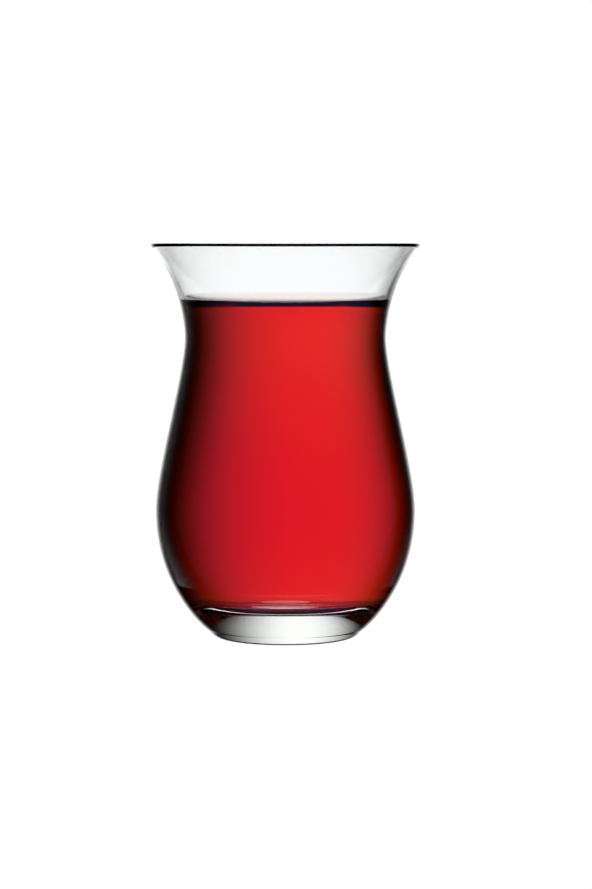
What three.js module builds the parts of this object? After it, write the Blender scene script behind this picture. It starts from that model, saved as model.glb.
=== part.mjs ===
import * as THREE from 'three';

// A tulip tea glass, narrow at the waist and flared at the lip, filled with tea to just above the waist.
// Millimetres, +Z up, the origin under the middle of the foot. Each profile point is (radius, height).

// Driving dimensions of the glass
const glassHeight = 87;
const rimRadius = 29.55;      // outside of the lip, the widest place
const rimLean = 40.5;         // degrees from upright, of the side as it meets the lip
const waistRadius = 22.15;
const waistHeight = 66.4;
const bellyRadius = 28.65;
const bellyHeight = 28.3;
const heelRadius = 17.5;      // where the round heel turns into the underside of the bowl
const heelHeight = 2;
const heelLean = 54;          // degrees from upright, of the side as it leaves the heel
const footRadius = 14;        // outside of the flat ring that the glass stands on
const footRingWidth = 2.4;
const puntDepth = 0.6;        // hollow under the foot, inside that ring

// How long each stretch of the side keeps the direction it has at its ends
const hold = {
  heel: 1, underBelly: 16.8, overBelly: 8.7, underWaist: 7.6, overWaist: 2.9, rim: 9.6,
};

// The wall, thick at the heel and thin at the lip
const wall = { heel: 2.75, belly: 1.7, waist: 1.5, lip: 0.9 };
const lipBand = 3;            // the wall keeps the lip's thickness over this height
const floorThickness = 8.65;  // clear glass between the edge of the inside's floor and the table
const floorSag = 0.2;         // the floor is this much lower in the middle
const floorRadius = 13.6;     // the floor ends here, and turns up into the side
const bowlStart = 12.7;       // height at which that turn ends

// Driving dimensions of the tea
const teaLevel = 73.41;
const meniscusRise = 1.6;     // the tea climbs the glass by this much
const meniscusReach = 1.5;    // and falls off by a factor e over this distance
const clearance = 0.3;        // between the tea and the glass

const roundSegments = 48;
const up = new THREE.Vector2(0, 1);

const point = (radius, height) => new THREE.Vector2(radius, height);
const lean = (degrees) => up.clone().rotateAround(point(0, 0), -THREE.MathUtils.degToRad(degrees));
const bend = (from, leave, arrive, to) => new THREE.CubicBezierCurve(from, leave, arrive, to);

// The outside of the bowl in three stretches: heel to belly, belly to waist, waist to lip
const heelTop = point(heelRadius, heelHeight);
const belly = point(bellyRadius, bellyHeight);
const waist = point(waistRadius, waistHeight);
const lipRadius = wall.lip / 2;
const lipMiddle = point(rimRadius - lipRadius, glassHeight - lipRadius);
const acrossRim = lean(rimLean).rotateAround(point(0, 0), -Math.PI / 2);
const lipBase = acrossRim.clone().multiplyScalar(lipRadius).add(lipMiddle);
const stretches = [
  { steps: 11, curve: bend(heelTop, lean(heelLean).multiplyScalar(hold.heel).add(heelTop),
    point(bellyRadius, bellyHeight - hold.underBelly), belly) },
  { steps: 9, curve: bend(belly, point(bellyRadius, bellyHeight + hold.overBelly),
    point(waistRadius, waistHeight - hold.underWaist), waist) },
  { steps: 8, curve: bend(waist, point(waistRadius, waistHeight + hold.overWaist),
    lean(rimLean).multiplyScalar(-hold.rim).add(lipBase), lipBase) },
];

// The thickness of the wall at a height, run smoothly from one named thickness to the next
function wallAt(height) {
  const stations = [
    [heelHeight, wall.heel], [bellyHeight, wall.belly], [waistHeight, wall.waist],
    [glassHeight - lipBand, wall.lip],
  ];
  const found = stations.findIndex(([level]) => level >= height);
  const above = found < 0 ? stations.length - 1 : Math.max(1, found);
  const [low, thickLow] = stations[above - 1];
  const [high, thickHigh] = stations[above];
  return THREE.MathUtils.lerp(thickLow, thickHigh, THREE.MathUtils.smoothstep(height, low, high));
}

// Points up the side, moved inward by the wall's thickness and by a further gap
function sidePoints(inside, gap = 0) {
  const points = stretches.flatMap(({ steps, curve }, index) =>
    Array.from({ length: steps + (index === 0) }, (_, step) => {
      const t = (step + (index > 0)) / steps;
      const spot = curve.getPoint(t);
      const tangent = curve.getTangent(t);
      const inward = point(-tangent.y, tangent.x);
      return spot.addScaledVector(inward, inside ? wallAt(spot.y) + gap : 0);
    }));
  return inside ? points.filter((spot) => spot.y > bowlStart + gap) : points;
}

// The inside from the middle of the floor, round the bottom of the bowl and up the side
function insidePoints(gap = 0) {
  const side = sidePoints(true, gap);
  const bowlTop = side[0];
  const rise = side[1].clone().sub(bowlTop).normalize();
  const floor = floorThickness + gap;
  const floorEdge = point(floorRadius, floor);
  const reach = bowlTop.y - floor;
  const bottom = bend(floorEdge, point(floorRadius + reach, floor),
    bowlTop.clone().addScaledVector(rise, -reach / 2), bowlTop);
  const sagging = [0, 0.25, 0.5, 0.75].map((share) =>
    point(floorRadius * share, floor - floorSag * (1 - share ** 2) ** 2));
  return [...sagging, ...bottom.getPoints(9), ...side.slice(1)];
}

// The underside: the hollow of the foot, its flat ring, and the round heel outside it
function footPoints() {
  const ringInside = footRadius - footRingWidth;
  const hollow = bend(point(0, puntDepth), point(ringInside * 0.5, puntDepth),
    point(ringInside * 0.8, puntDepth * 0.3), point(ringInside, 0));
  const heelRun = heelRadius - footRadius;
  const heel = bend(point(footRadius, 0), point(footRadius + heelRun * 0.55, 0),
    lean(heelLean).multiplyScalar(-heelRun * 0.35).add(heelTop), heelTop);
  return [...hollow.getPoints(5), ...heel.getPoints(5).slice(0, -1)];
}

// The half circle over the lip, between the last points of the outer and the inner side
function lipPoints() {
  return Array.from({ length: 5 }, (_, step) =>
    lipBase.clone().rotateAround(lipMiddle, (step + 1) * Math.PI / 6));
}

function glassProfile() {
  return [...footPoints(), ...sidePoints(false), ...lipPoints(), ...insidePoints().reverse()];
}

// The tea fills the inside, and its surface rises to the wall in a meniscus
function teaProfile() {
  const side = insidePoints(clearance);
  const wet = side.filter((spot) => spot.y < teaLevel + meniscusRise - clearance);
  const [below, above] = [wet.at(-1), side[wet.length]];
  const edgeHeight = teaLevel + meniscusRise;
  const edge = below.clone().lerp(above, (edgeHeight - below.y) / (above.y - below.y));
  const surface = [0, 0.4, 1, 1.8, 3, 5, 8].map((away) =>
    point(edge.x - away, teaLevel + meniscusRise * Math.exp(-away / meniscusReach)));
  return [...wet, ...surface, point(0, teaLevel)];
}

// Turns a profile about the upright axis
function turned(name, profile, finish) {
  const geometry = new THREE.LatheGeometry(profile, roundSegments);
  geometry.rotateX(Math.PI / 2);
  const mesh = new THREE.Mesh(geometry, new THREE.MeshStandardMaterial(finish));
  mesh.name = name;
  return mesh;
}

const teaGlass = new THREE.Group();
teaGlass.add(
  turned('glass', glassProfile(), {
    color: 0xf4f6f5, roughness: 0.02, metalness: 0, transparent: true, opacity: 0.3,
  }),
  turned('tea', teaProfile(), { color: 0xd01c22, roughness: 0.03, metalness: 0 }),
);

export default teaGlass;
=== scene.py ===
import math

import bpy
import numpy as np
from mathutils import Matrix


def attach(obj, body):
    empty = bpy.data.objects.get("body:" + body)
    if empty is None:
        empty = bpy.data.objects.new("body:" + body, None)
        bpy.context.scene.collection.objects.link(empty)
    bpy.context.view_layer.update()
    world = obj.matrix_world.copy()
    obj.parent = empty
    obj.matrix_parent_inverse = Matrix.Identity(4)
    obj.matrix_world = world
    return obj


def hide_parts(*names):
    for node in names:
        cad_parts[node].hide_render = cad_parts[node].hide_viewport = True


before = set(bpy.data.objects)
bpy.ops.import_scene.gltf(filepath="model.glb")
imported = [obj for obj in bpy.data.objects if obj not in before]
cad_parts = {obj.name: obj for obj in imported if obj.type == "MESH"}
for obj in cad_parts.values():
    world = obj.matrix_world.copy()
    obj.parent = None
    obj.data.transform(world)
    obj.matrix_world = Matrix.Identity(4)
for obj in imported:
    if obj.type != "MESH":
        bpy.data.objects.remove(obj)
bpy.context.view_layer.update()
print("packed frame loaded:", ", ".join(sorted(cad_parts)))

mm = 0.001
white = (1.0, 1.0, 1.0, 1.0)
fineness = {
    "curveSteps": 40,       # along each curve of a profile
    "floorSteps": 23,       # from the middle of the inside's floor to its edge
    "lipSteps": 24,         # over the half circle of the lip
    "surfaceSteps": 119,    # from the tea's edge to its middle
    "segments": 256,        # round the axis
}


# Curves of a profile, as rows of (radius, height) in millimetres

def bend(start, leave, arrive, end):
    # cubic curve: (1-t)^3 start + 3(1-t)^2 t leave + 3(1-t) t^2 arrive + t^3 end
    t = np.linspace(0, 1, fineness["curveSteps"] + 1)[:, None]
    start, leave, arrive, end = (np.array(spot, float) for spot in (start, leave, arrive, end))
    return (1 - t) ** 3 * start + 3 * (1 - t) ** 2 * t * leave + 3 * (1 - t) * t ** 2 * arrive + t ** 3 * end


def lean(degrees):
    # a step of 1 mm in the direction (sin a, cos a), which leans outwards from upright by a
    return np.array([math.sin(math.radians(degrees)), math.cos(math.radians(degrees))])


def inwards(line):
    # unit vectors across a line, to its left: (-dz, dr) over its length
    along = np.gradient(line, axis=0)
    across = np.stack([-along[:, 1], along[:, 0]], axis=1)
    return across / np.linalg.norm(across, axis=1)[:, None]


# The glass: a foot, a round belly, a waist and a flared lip

glassShape = {
    "height": 87.0,
    "rimRadius": 29.55, "rimLean": 40.5,          # the lip is the widest place; lean in degrees from upright
    "waistRadius": 22.15, "waistHeight": 66.4,
    "bellyRadius": 28.65, "bellyHeight": 28.3,
    "heelRadius": 17.5, "heelHeight": 2.0, "heelLean": 54.0,
    "footRadius": 14.0, "footRing": 2.4,          # the flat ring that the glass stands on, and its width
    "punt": 0.6, "puntTurn": (0.5, 0.8, 0.3),     # the hollow inside that ring, and where it turns down
    "heelRound": (0.55, 0.35),                    # how soon the heel turns up, at its start and its end
    "heelHold": 1.0, "underBelly": 16.8,          # how long the side keeps its direction at each place
    "overBelly": 8.7, "underWaist": 7.6, "overWaist": 2.9, "rimHold": 9.6,
    "heelWall": 2.75, "bellyWall": 1.7, "waistWall": 1.5, "lipWall": 0.9,
    "lipBand": 3.0,                               # the wall keeps the lip's thickness over this height
    "floor": 8.65, "floorRadius": 13.6,           # the inside's floor: its height at its edge, and its size
    "sag": 0.2,                                   # the floor is this much lower in its middle
    "bowlStart": 12.7,                            # where the curve from the floor meets the side
}

heelTop = np.array([glassShape["heelRadius"], glassShape["heelHeight"]])
belly = np.array([glassShape["bellyRadius"], glassShape["bellyHeight"]])
waist = np.array([glassShape["waistRadius"], glassShape["waistHeight"]])
lipRound = glassShape["lipWall"] / 2
lipMiddle = np.array([glassShape["rimRadius"] - lipRound, glassShape["height"] - lipRound])
acrossRim = lean(90 + glassShape["rimLean"])
lipBase = lipMiddle + lipRound * acrossRim


def outerSide():
    # three cubic curves end to end: heel to belly, belly to waist, waist to lip
    up = lean(0)
    lower = bend(heelTop, heelTop + lean(glassShape["heelLean"]) * glassShape["heelHold"],
                 belly - up * glassShape["underBelly"], belly)
    middle = bend(belly, belly + up * glassShape["overBelly"], waist - up * glassShape["underWaist"], waist)
    upper = bend(waist, waist + up * glassShape["overWaist"],
                 lipBase - lean(glassShape["rimLean"]) * glassShape["rimHold"], lipBase)
    return np.vstack([lower, middle[1:], upper[1:]])


def wallAt(height):
    # thickness a + (b-a)(3t^2 - 2t^3) between the two nearest named heights
    heights = np.array([glassShape["heelHeight"], glassShape["bellyHeight"], glassShape["waistHeight"],
                        glassShape["height"] - glassShape["lipBand"]])
    walls = np.array([glassShape[name] for name in ("heelWall", "bellyWall", "waistWall", "lipWall")])
    upper = np.clip(np.searchsorted(heights, height), 1, len(heights) - 1)
    t = np.clip((height - heights[upper - 1]) / (heights[upper] - heights[upper - 1]), 0, 1)
    return walls[upper - 1] + (walls[upper] - walls[upper - 1]) * t * t * (3 - 2 * t)


def innerSide(gap=0.0):
    # the outer side moved in by wall + gap, down to the bowl's start, then a curve onto the floor,
    # which is s (1 - (r/R)^2)^2 lower towards the middle
    outer = outerSide()
    side = outer + inwards(outer) * (wallAt(outer[:, 1]) + gap)[:, None]
    side = side[side[:, 1] > glassShape["bowlStart"] + gap]
    floor = glassShape["floor"] + gap
    reach = side[0, 1] - floor
    rise = (side[1] - side[0]) / np.linalg.norm(side[1] - side[0])
    turn = bend((glassShape["floorRadius"], floor), (glassShape["floorRadius"] + reach, floor),
                side[0] - rise * reach / 2, side[0])
    across = np.linspace(0, 1, fineness["floorSteps"] + 1)
    lowering = glassShape["sag"] * (1 - across ** 2) ** 2
    bottom = np.stack([across * glassShape["floorRadius"], floor - lowering], axis=1)
    return np.vstack([bottom, turn[1:], side[1:]])


def underside():
    # a shallow hollow, the flat ring that the glass stands on, and the round heel
    ringInside = glassShape["footRadius"] - glassShape["footRing"]
    level, turnPlace, turnDepth = glassShape["puntTurn"]
    hollow = bend((0, glassShape["punt"]), (ringInside * level, glassShape["punt"]),
                  (ringInside * turnPlace, glassShape["punt"] * turnDepth), (ringInside, 0))
    run = glassShape["heelRadius"] - glassShape["footRadius"]
    leave, arrive = glassShape["heelRound"]
    heel = bend((glassShape["footRadius"], 0), (glassShape["footRadius"] + run * leave, 0),
                heelTop - lean(glassShape["heelLean"]) * run * arrive, heelTop)
    return np.vstack([hollow, heel[:-1]])


def lipArc():
    # half a circle: middle + r (cos a, sin a), from the outer side over to the inner side
    share = np.arange(1, fineness["lipSteps"]) / fineness["lipSteps"]
    turn = np.pi * share - math.radians(glassShape["rimLean"])
    return lipMiddle + lipRound * np.stack([np.cos(turn), np.sin(turn)], axis=1)


def addObject(name, points, faces):
    # a mesh in the scene, from its points and the corners of each face
    mesh = bpy.data.meshes.new(name)
    mesh.from_pydata(points.tolist(), [], faces)
    piece = bpy.data.objects.new(name, mesh)
    bpy.context.scene.collection.objects.link(piece)
    return piece


def revolve(name, profile):
    # a surface of two parameters, the step s along the profile and the angle a round the axis:
    # (r(s) cos a, r(s) sin a, z(s)), with one point on the axis at each end
    segments = fineness["segments"]
    angle = np.arange(segments) * 2 * np.pi / segments
    radius, height = profile[:, :1] * mm, profile[:, 1:] * mm
    rings = np.stack([radius * np.cos(angle), radius * np.sin(angle),
                      np.repeat(height, segments, axis=1)], axis=-1)[1:-1]
    ends = [[0, 0, height[0, 0]], [0, 0, height[-1, 0]]]
    points = np.vstack([rings.reshape(-1, 3), ends])
    step, turn = np.meshgrid(np.arange(len(rings) - 1), np.arange(segments), indexing="ij")
    corner = step * segments + turn
    beside = step * segments + (turn + 1) % segments
    quads = np.stack([corner, beside, beside + segments, corner + segments], axis=-1).reshape(-1, 4)
    last = (len(rings) - 1) * segments
    first, after = np.arange(segments), (np.arange(segments) + 1) % segments
    startFan = np.stack([np.full(segments, len(points) - 2), after, first], axis=1)
    endFan = np.stack([np.full(segments, len(points) - 1), last + first, last + after], axis=1)
    piece = addObject(name, points, quads.tolist() + startFan.tolist() + endFan.tolist())
    piece.data.polygons.foreach_set("use_smooth", np.ones(len(piece.data.polygons), bool))
    piece.data.validate()
    return piece


clearGlass = revolve("clearGlass", np.vstack([underside(), outerSide(), lipArc(), innerSide()[::-1]]))
print("glass:", len(clearGlass.data.polygons), "faces")


# The tea: a solid up to its level, which reaches just into the wall, with a meniscus at its edge

teaShape = {
    "level": 73.41,
    "intoWall": 0.06,
    "rise": 1.6, "reach": 1.5,      # the tea climbs the glass, and settles over this distance
    "edgeBand": 0.005,              # a band this high keeps the shading of the side and the surface apart
    "clearBelow": 0.1,              # no point of the side comes nearer than this to that band
}


def teaProfile():
    # the inside of the glass up to the contact line, then the surface: level + rise exp(-(edge - r) / reach)
    side = innerSide(-teaShape["intoWall"])
    edgeHeight = teaShape["level"] + teaShape["rise"]
    edge = np.interp(edgeHeight, side[:, 1], side[:, 0])
    away = edge * np.linspace(0, 1, fineness["surfaceSteps"] + 1) ** 2
    height = teaShape["level"] + teaShape["rise"] * np.exp(-away / teaShape["reach"])
    below = edgeHeight - teaShape["edgeBand"]
    bandFoot = (np.interp(below, side[:, 1], side[:, 0]), below)
    wet = side[side[:, 1] < below - teaShape["clearBelow"]]
    return np.vstack([wet, bandFoot, np.stack([edge - away, height], axis=1)])


redTea = revolve("redTea", teaProfile())
print("tea:", len(redTea.data.polygons), "faces")


# Materials: one class wraps a socket, so that shader maths reads as arithmetic

class Wire:
    def __init__(self, tree, socket=None):
        self.tree = tree
        self.socket = socket

    def add(self, kind, settings=None, sockets=None, output=0):
        # any node: its type, its settings first, then the values or links of its sockets
        node = self.tree.nodes.new("ShaderNode" + kind)
        for name, value in (settings or {}).items():
            setattr(node, name, value)
        for name, value in (sockets or {}).items():
            if isinstance(value, Wire):
                self.tree.links.new(value.socket, node.inputs[name])
            else:
                node.inputs[name].default_value = value
        return Wire(self.tree, node.outputs[output] if len(node.outputs) else None)

    def maths(self, operation, first, second=0.0):
        # one Math node
        return self.add("Math", {"operation": operation}, {0: first, 1: second})

    def __add__(self, other):
        return self.maths("ADD", self, other)

    def __radd__(self, other):
        return self.maths("ADD", other, self)

    def __sub__(self, other):
        return self.maths("SUBTRACT", self, other)

    def __rsub__(self, other):
        return self.maths("SUBTRACT", other, self)

    def __mul__(self, other):
        return self.maths("MULTIPLY", self, other)

    def __rmul__(self, other):
        return self.maths("MULTIPLY", other, self)

    def __truediv__(self, other):
        return self.maths("DIVIDE", self, other)

    def __rtruediv__(self, other):
        return self.maths("DIVIDE", other, self)

    def __pow__(self, other):
        return self.maths("POWER", self, other)

    def __rpow__(self, other):
        return self.maths("POWER", other, self)


def newTree(owner):
    # an emptied node tree, as a wire to add to
    owner.use_nodes = True
    owner.node_tree.nodes.clear()
    return Wire(owner.node_tree)


def objectPlace(wire):
    # the three parts of the place on the piece, in metres
    place = wire.add("TexCoord", output="Object")
    split = wire.add("SeparateXYZ", sockets={"Vector": place}).socket.node
    return [Wire(wire.tree, socket) for socket in split.outputs]


glassFinish = {
    "tint": (0.985, 0.995, 0.99, 1), "ior": 1.52,
    "absorbs": (0.90, 0.97, 0.94, 1), "density": 10.0,    # per metre, a faint green in the thick foot
    "roughness": 0.0,
    "rippleScale": 90.0, "rippleDetail": 1.0,             # the fire-polished skin is very slightly wavy
    "rippleDepth": 0.0000005,
}


def clearGlassMaterial():
    # smooth refracting glass with a faint ripple, and a faint tint where it is thick
    material = bpy.data.materials.new("clear glass")
    wire = newTree(material)
    ripple = wire.add("TexNoise", sockets={"Vector": wire.add("TexCoord", output="Object"),
                                           "Scale": glassFinish["rippleScale"],
                                           "Detail": glassFinish["rippleDetail"]})
    skin = wire.add("Bump", sockets={"Height": ripple, "Distance": glassFinish["rippleDepth"]})
    surface = wire.add("BsdfPrincipled", sockets={
        "Base Color": glassFinish["tint"], "Roughness": glassFinish["roughness"],
        "IOR": glassFinish["ior"], "Transmission Weight": 1.0, "Normal": skin})
    inside = wire.add("VolumeAbsorption", sockets={"Color": glassFinish["absorbs"],
                                                   "Density": glassFinish["density"]})
    wire.add("OutputMaterial", sockets={"Surface": surface, "Volume": inside})
    return material


teaFinish = {
    "ior": 1.335, "roughness": 0.0,
    "absorbs": (0.97, 0.34, 0.0, 1), "density": 150.0,    # share kept of each colour, and strength per metre
}


def teaMaterial():
    # clear liquid that takes its red from the depth of tea that light passes through
    material = bpy.data.materials.new("red tea")
    wire = newTree(material)
    surface = wire.add("BsdfPrincipled", sockets={
        "Base Color": white, "Roughness": teaFinish["roughness"],
        "IOR": teaFinish["ior"], "Transmission Weight": 1.0})
    inside = wire.add("VolumeAbsorption", sockets={"Color": teaFinish["absorbs"],
                                                   "Density": teaFinish["density"]})
    wire.add("OutputMaterial", sockets={"Surface": surface, "Volume": inside})
    return material


clearGlass.data.materials.append(clearGlassMaterial())
redTea.data.materials.append(teaMaterial())
for piece, node in ((clearGlass, "glass"), (redTea, "tea")):
    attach(piece, "root")
    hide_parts(node)
    piece.visible_shadow = False                          # neither throws a shadow on the white floor
    piece.visible_diffuse = False
print("materials set")


# Camera: its place in metres, turned down from level by the tilt in degrees

cameraView = {
    "place": (0.00233, -0.6465, 0.0890), "tilt": -4.099, "farthest": 20.0,
    "focalPixels": 2936.6,                        # the focal length in pixels
    "framePixels": 889, "sensor": 36.0,           # the picture's longer side, in pixels and in mm
}

camera = bpy.data.objects.new("camera", bpy.data.cameras.new("camera"))
bpy.context.scene.collection.objects.link(camera)
bpy.context.scene.camera = camera
camera.location = cameraView["place"]
camera.rotation_euler = (math.radians(90 + cameraView["tilt"]), 0, 0)
camera.data.sensor_width = cameraView["sensor"]
camera.data.lens = cameraView["focalPixels"] / cameraView["framePixels"] * cameraView["sensor"]
camera.data.clip_end = cameraView["farthest"]
print("camera set")


# Light: glowing cards that stay with the camera, as on a turntable, each seen by one kind of ray only

rayKinds = ("camera", "diffuse", "glossy", "transmission", "volume_scatter", "shadow")


def stayWithCamera(name, points, faces, seenBy):
    # an object parented to the camera, where it stands, that only the named kind of ray sees
    card = addObject(name, points, faces.tolist())
    bpy.context.view_layer.update()
    card.parent = camera
    card.matrix_parent_inverse = camera.matrix_world.inverted()
    for kind in rayKinds:
        setattr(card, "visible_" + kind, kind == seenBy)
    return card


def gridFaces(rows, columns):
    # the corners of each cell of a grid of points, which are listed row by row
    corner = (np.arange(rows - 1)[:, None] * columns + np.arange(columns - 1)).ravel()
    return np.stack([corner, corner + 1, corner + columns + 1, corner + columns], axis=1)


def lightMaterial(name, surfaceOn):
    # a glow that isn't sampled as a lamp; surfaceOn makes its surface on a wire
    material = bpy.data.materials.new(name)
    wire = newTree(material)
    wire.add("OutputMaterial", sockets={"Surface": surfaceOn(wire)})
    material.cycles.emission_sampling = "NONE"
    return material


def azimuthOf(wire, x, y):
    # atan2(x, y) in degrees: 0 behind the glass, 90 to its right, 180 in front
    return wire.maths("ARCTAN2", x, y) * math.degrees(1)


def fade(wire, value, start, end):
    # 0 at start, 1 at end, smooth between them
    return wire.add("MapRange", {"interpolation_type": "SMOOTHSTEP"},
                    {"Value": value, "From Min": start, "From Max": end})


# Three cards are parts of one large sphere round the glass

sphere = {"radius": 1.5, "middle": (0.0, 0.0, 0.0435), "rows": 48}    # metres


def sphereCard(name, material, light, strengthAt, seenBy):
    # middle + R (sin az cos el, cos az cos el, sin el), over the light's azimuths and elevations
    rows = sphere["rows"]
    az, el = np.meshgrid(np.radians(np.linspace(*light["azimuths"], rows)),
                         np.radians(np.linspace(*light["elevations"], rows)))
    points = np.stack([np.sin(az) * np.cos(el), np.cos(az) * np.cos(el), np.sin(el)], axis=-1)
    points = points.reshape(-1, 3) * sphere["radius"] + np.array(sphere["middle"])
    card = stayWithCamera(name, points, gridFaces(rows, rows), seenBy)

    def surface(wire):
        # the strength is worked out from the azimuth and the elevation asin((z - middle) / R)
        x, y, z = objectPlace(wire)
        height = (z - sphere["middle"][2]) / sphere["radius"]
        elevation = wire.maths("ARCSINE", height) * math.degrees(1)
        strength = strengthAt(wire, azimuthOf(wire, x, y), elevation)
        return wire.add("Emission", sockets={"Color": light["colour"], "Strength": strength})

    card.data.materials.append(lightMaterial(material, surface))


backLight = {
    "azimuths": (-64, 64), "elevations": (-75, 48), "colour": white,    # angles in degrees
    "peak": 1.19, "middle": -6.3, "width": 24.2, "power": 2.4,
    "top": (25.0, 18.0), "bottom": (-58.0, -46.0),        # it fades in between these elevations
}


def backStrength(wire, azimuth, elevation):
    # what shows through glass and tea: peak exp(-(|az - middle| / width)^power), dark above and below
    away = wire.maths("ABSOLUTE", azimuth - backLight["middle"]) / backLight["width"]
    lobe = wire.maths("EXPONENT", -1 * away ** backLight["power"]) * backLight["peak"]
    return lobe * fade(wire, elevation, *backLight["top"]) * fade(wire, elevation, *backLight["bottom"])


edgeLight = {
    "azimuths": (-64, 64), "elevations": (-75, 47), "colour": white,
    "peak": 1.1, "level": -4.0, "width": 25.0, "power": 5.0,
}


def edgeStrength(wire, azimuth, elevation):
    # what the outline mirrors: peak exp(-(d / width)^power), d being the angle from straight behind
    away = wire.maths("SQRT", azimuth ** 2 + (elevation - edgeLight["level"]) ** 2) / edgeLight["width"]
    return wire.maths("EXPONENT", -1 * away ** edgeLight["power"]) * edgeLight["peak"]


frontLight = {
    "azimuths": (65, 295), "elevations": (-89, 47), "colour": (0.12, 0.10, 0.40, 1),
    "sides": (121.0, 59.0), "foot": (-77.0, -68.0),       # it fades in between these angles
    "turn": 9.0,                                          # it reaches further to the right by this
}


def frontStrength(wire, azimuth, elevation):
    # what the front mirrors: even, and fading out at both sides and towards the table
    fromFront = 180 - wire.maths("ABSOLUTE", azimuth) - wire.maths("SIGN", azimuth) * frontLight["turn"]
    return fade(wire, fromFront, *frontLight["sides"]) * fade(wire, elevation, *frontLight["foot"])


sphereCard("backCard", "back card", backLight, backStrength, "transmission")
sphereCard("edgeCard", "edge card", edgeLight, edgeStrength, "glossy")
sphereCard("frontCard", "front card", frontLight, frontStrength, "glossy")


# A card close behind the clear part, which shows through it

lipLight = {
    "away": 0.0008, "strength": 1.17, "columns": 96,
    "foot": (0.0742, 0.0747),                             # it fades in between these heights, in metres
    "left": (-88.0, -78.0), "right": (72.0, 60.0),        # and between these azimuths
}


def makeLipCard():
    # the rear half of the glass's outer side, a little further out: ((r + away) sin a, (r + away) cos a, z)
    columns = lipLight["columns"]
    side = outerSide() * mm
    side = side[side[:, 1] > lipLight["foot"][0]]
    around = np.radians(np.linspace(-90, 90, columns))
    radius = side[:, :1] + lipLight["away"]
    points = np.stack([radius * np.sin(around), radius * np.cos(around),
                       np.repeat(side[:, 1:], columns, axis=1)], axis=-1).reshape(-1, 3)
    card = stayWithCamera("lipCard", points, gridFaces(len(side), columns), "transmission")

    def surface(wire):
        # clear where it has faded out
        x, y, z = objectPlace(wire)
        azimuth = azimuthOf(wire, x, y)
        share = fade(wire, azimuth, *lipLight["left"]) * fade(wire, azimuth, *lipLight["right"])
        light = wire.add("Emission", sockets={"Color": white, "Strength": lipLight["strength"]})
        return wire.add("MixShader", sockets={0: share * fade(wire, z, *lipLight["foot"]),
                                              1: wire.add("BsdfTransparent"), 2: light})

    card.data.materials.append(lightMaterial("lip card", surface))


makeLipCard()


# Painted shade: a dark tube round the foot, seen only through the glass, stands in for the shaded table
# under the glass and gives the foot its dark bottom edge, in metres

paintedShadeShape = {"radius": 0.028, "top": 0.0034, "bottom": -0.026, "segments": 96, "strength": 0.02}


def makePaintedShade():
    # (R cos a, R sin a, z), from its top down past the table
    segments = paintedShadeShape["segments"]
    angle = np.arange(segments) * 2 * np.pi / segments
    ring = np.stack([np.cos(angle), np.sin(angle)], axis=1) * paintedShadeShape["radius"]
    points = np.vstack([np.c_[ring, np.full(segments, paintedShadeShape["top"])],
                        np.c_[ring, np.full(segments, paintedShadeShape["bottom"])]])
    first, after = np.arange(segments), (np.arange(segments) + 1) % segments
    faces = np.stack([first, after, after + segments, first + segments], axis=1)
    paintedShadeTube = stayWithCamera("paintedShadeTube", points, faces, "transmission")

    def surface(wire):
        # painted shade: a near-black glow in place of the light that the shaded table under the glass would
        # send up
        return wire.add("Emission", sockets={"Color": white, "Strength": paintedShadeShape["strength"]})

    paintedShadeTube.data.materials.append(lightMaterial("paintedShadeTube", surface))


makePaintedShade()
print("cards set")


# Surroundings: a white floor, and a world that is white to the camera and dark to the glass

surroundings = {
    "floorRadius": 3.0, "floorDrop": 0.0002, "floorSides": 96, "floorColour": (0.98, 0.98, 0.98, 1),
    "bright": 1.05, "dark": 0.02,
}


def makeFloor():
    # a flat disc: (R cos a, R sin a, -drop), pale and plain
    sides = surroundings["floorSides"]
    angle = np.linspace(0, 2 * np.pi, sides, endpoint=False)
    points = np.stack([np.cos(angle), np.sin(angle), np.zeros(sides)], axis=1) * surroundings["floorRadius"]
    points[:, 2] -= surroundings["floorDrop"]
    floor = addObject("floor", points, [list(range(sides))])
    material = bpy.data.materials.new("floor")
    wire = newTree(material)
    surface = wire.add("BsdfDiffuse", sockets={"Color": surroundings["floorColour"]})
    wire.add("OutputMaterial", sockets={"Surface": surface})
    floor.data.materials.append(material)
    floor.visible_glossy = False
    floor.visible_transmission = False


def makeWorld():
    # strength: dark + seen (bright - dark), where seen is 1 for camera and diffuse rays and 0 for all others
    world = bpy.data.worlds.new("studio")
    bpy.context.scene.world = world
    wire = newTree(world)
    seen = wire.add("LightPath", output="Is Camera Ray") + wire.add("LightPath", output="Is Diffuse Ray")
    strength = surroundings["dark"] + seen * (surroundings["bright"] - surroundings["dark"])
    background = wire.add("Background", sockets={"Color": white, "Strength": strength})
    wire.add("OutputWorld", sockets={"Surface": background})


makeFloor()
makeWorld()

bounces = {"all": 24, "transmission": 24, "glossy": 12}    # the tea's edge needs many
scene = bpy.context.scene
scene.view_settings.view_transform = "Standard"
scene.cycles.max_bounces = bounces["all"]
scene.cycles.transmission_bounces = bounces["transmission"]
scene.cycles.glossy_bounces = bounces["glossy"]
print("studio set")
